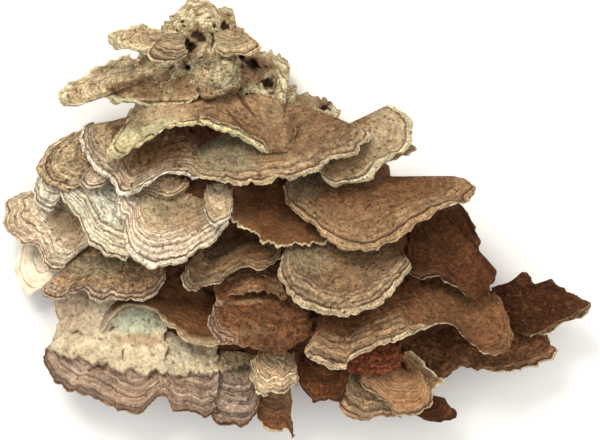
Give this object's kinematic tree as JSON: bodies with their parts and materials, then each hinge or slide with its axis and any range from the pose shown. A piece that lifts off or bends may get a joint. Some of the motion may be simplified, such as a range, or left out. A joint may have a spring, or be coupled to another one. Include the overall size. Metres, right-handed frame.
{
  "type": "violet-toothed polypore cluster",
  "caption": "Dense tiered cluster of thin, wavy, zoned bracket fungi fused along a rough crust, lying on the flat cut where it left the trunk.",
  "frame": {"origin": "on the flat cut face, under the middle of the cluster", "axes": "+Z out of the cut, the way the brackets grew away from the trunk; +Y up the trunk, towards the narrow crown; +X to the right as seen from in front"},
  "size_m": [0.1868, 0.1388, 0.047],
  "materials": {
    "crust": "matte",
    "lichened_cap": "matte",
    "tan_cap": "matte",
    "green_cap": "matte",
    "velvet_cap": "matte",
    "brown_cap": "matte",
    "cream_cap": "matte",
    "white_cap": "matte",
    "rust_cap": "matte",
    "amber_cap": "matte"
  },
  "bodies": {
    "root": {"crust_base": "crust", "crown_left_knob": "lichened_cap", "crown_small_cap": "tan_cap", "crown_right_cap": "tan_cap", "upper_left_shelf": "lichened_cap", "crown_rough_cap": "lichened_cap", "arched_shelf": "green_cap", "left_shoulder_shelf": "velvet_cap", "green_middle_shelf": "green_cap", "right_lobe_shelf": "tan_cap", "right_lobe_underlip": "brown_cap", "great_right_shelf": "tan_cap", "brown_hollow_shelf": "brown_cap", "zoned_middle_shelf": "tan_cap", "great_left_shelf": "cream_cap", "nested_lobe": "velvet_cap", "cream_drape": "cream_cap", "left_banded_shelf": "cream_cap", "small_dark_lobe": "velvet_cap", "round_left_cap": "velvet_cap", "pale_left_lobe": "cream_cap", "left_fan": "cream_cap", "ghost_cap": "white_cap", "velvet_left_shelf": "velvet_cap", "shell_cap": "tan_cap", "rust_step": "rust_cap", "great_brown_shelf": "rust_cap", "dark_trough": "brown_cap", "white_bottom_shelf": "white_cap", "bottom_banded_shelf": "white_cap", "bottom_wrinkled_shelf": "white_cap", "pointed_flap": "brown_cap", "frilled_white_cap": "cream_cap", "bottom_dark_shelf": "brown_cap", "long_right_shelf": "tan_cap", "right_shadow_shelf": "brown_cap", "right_tail_cap": "brown_cap", "lower_right_shelf": "brown_cap", "granular_red_cap": "rust_cap", "rimmed_corner_cap": "brown_cap", "tan_fan_cap": "amber_cap", "bottom_double_cap": "tan_cap", "dark_bottom_tip": "brown_cap"}
  },
  "joints": []
}
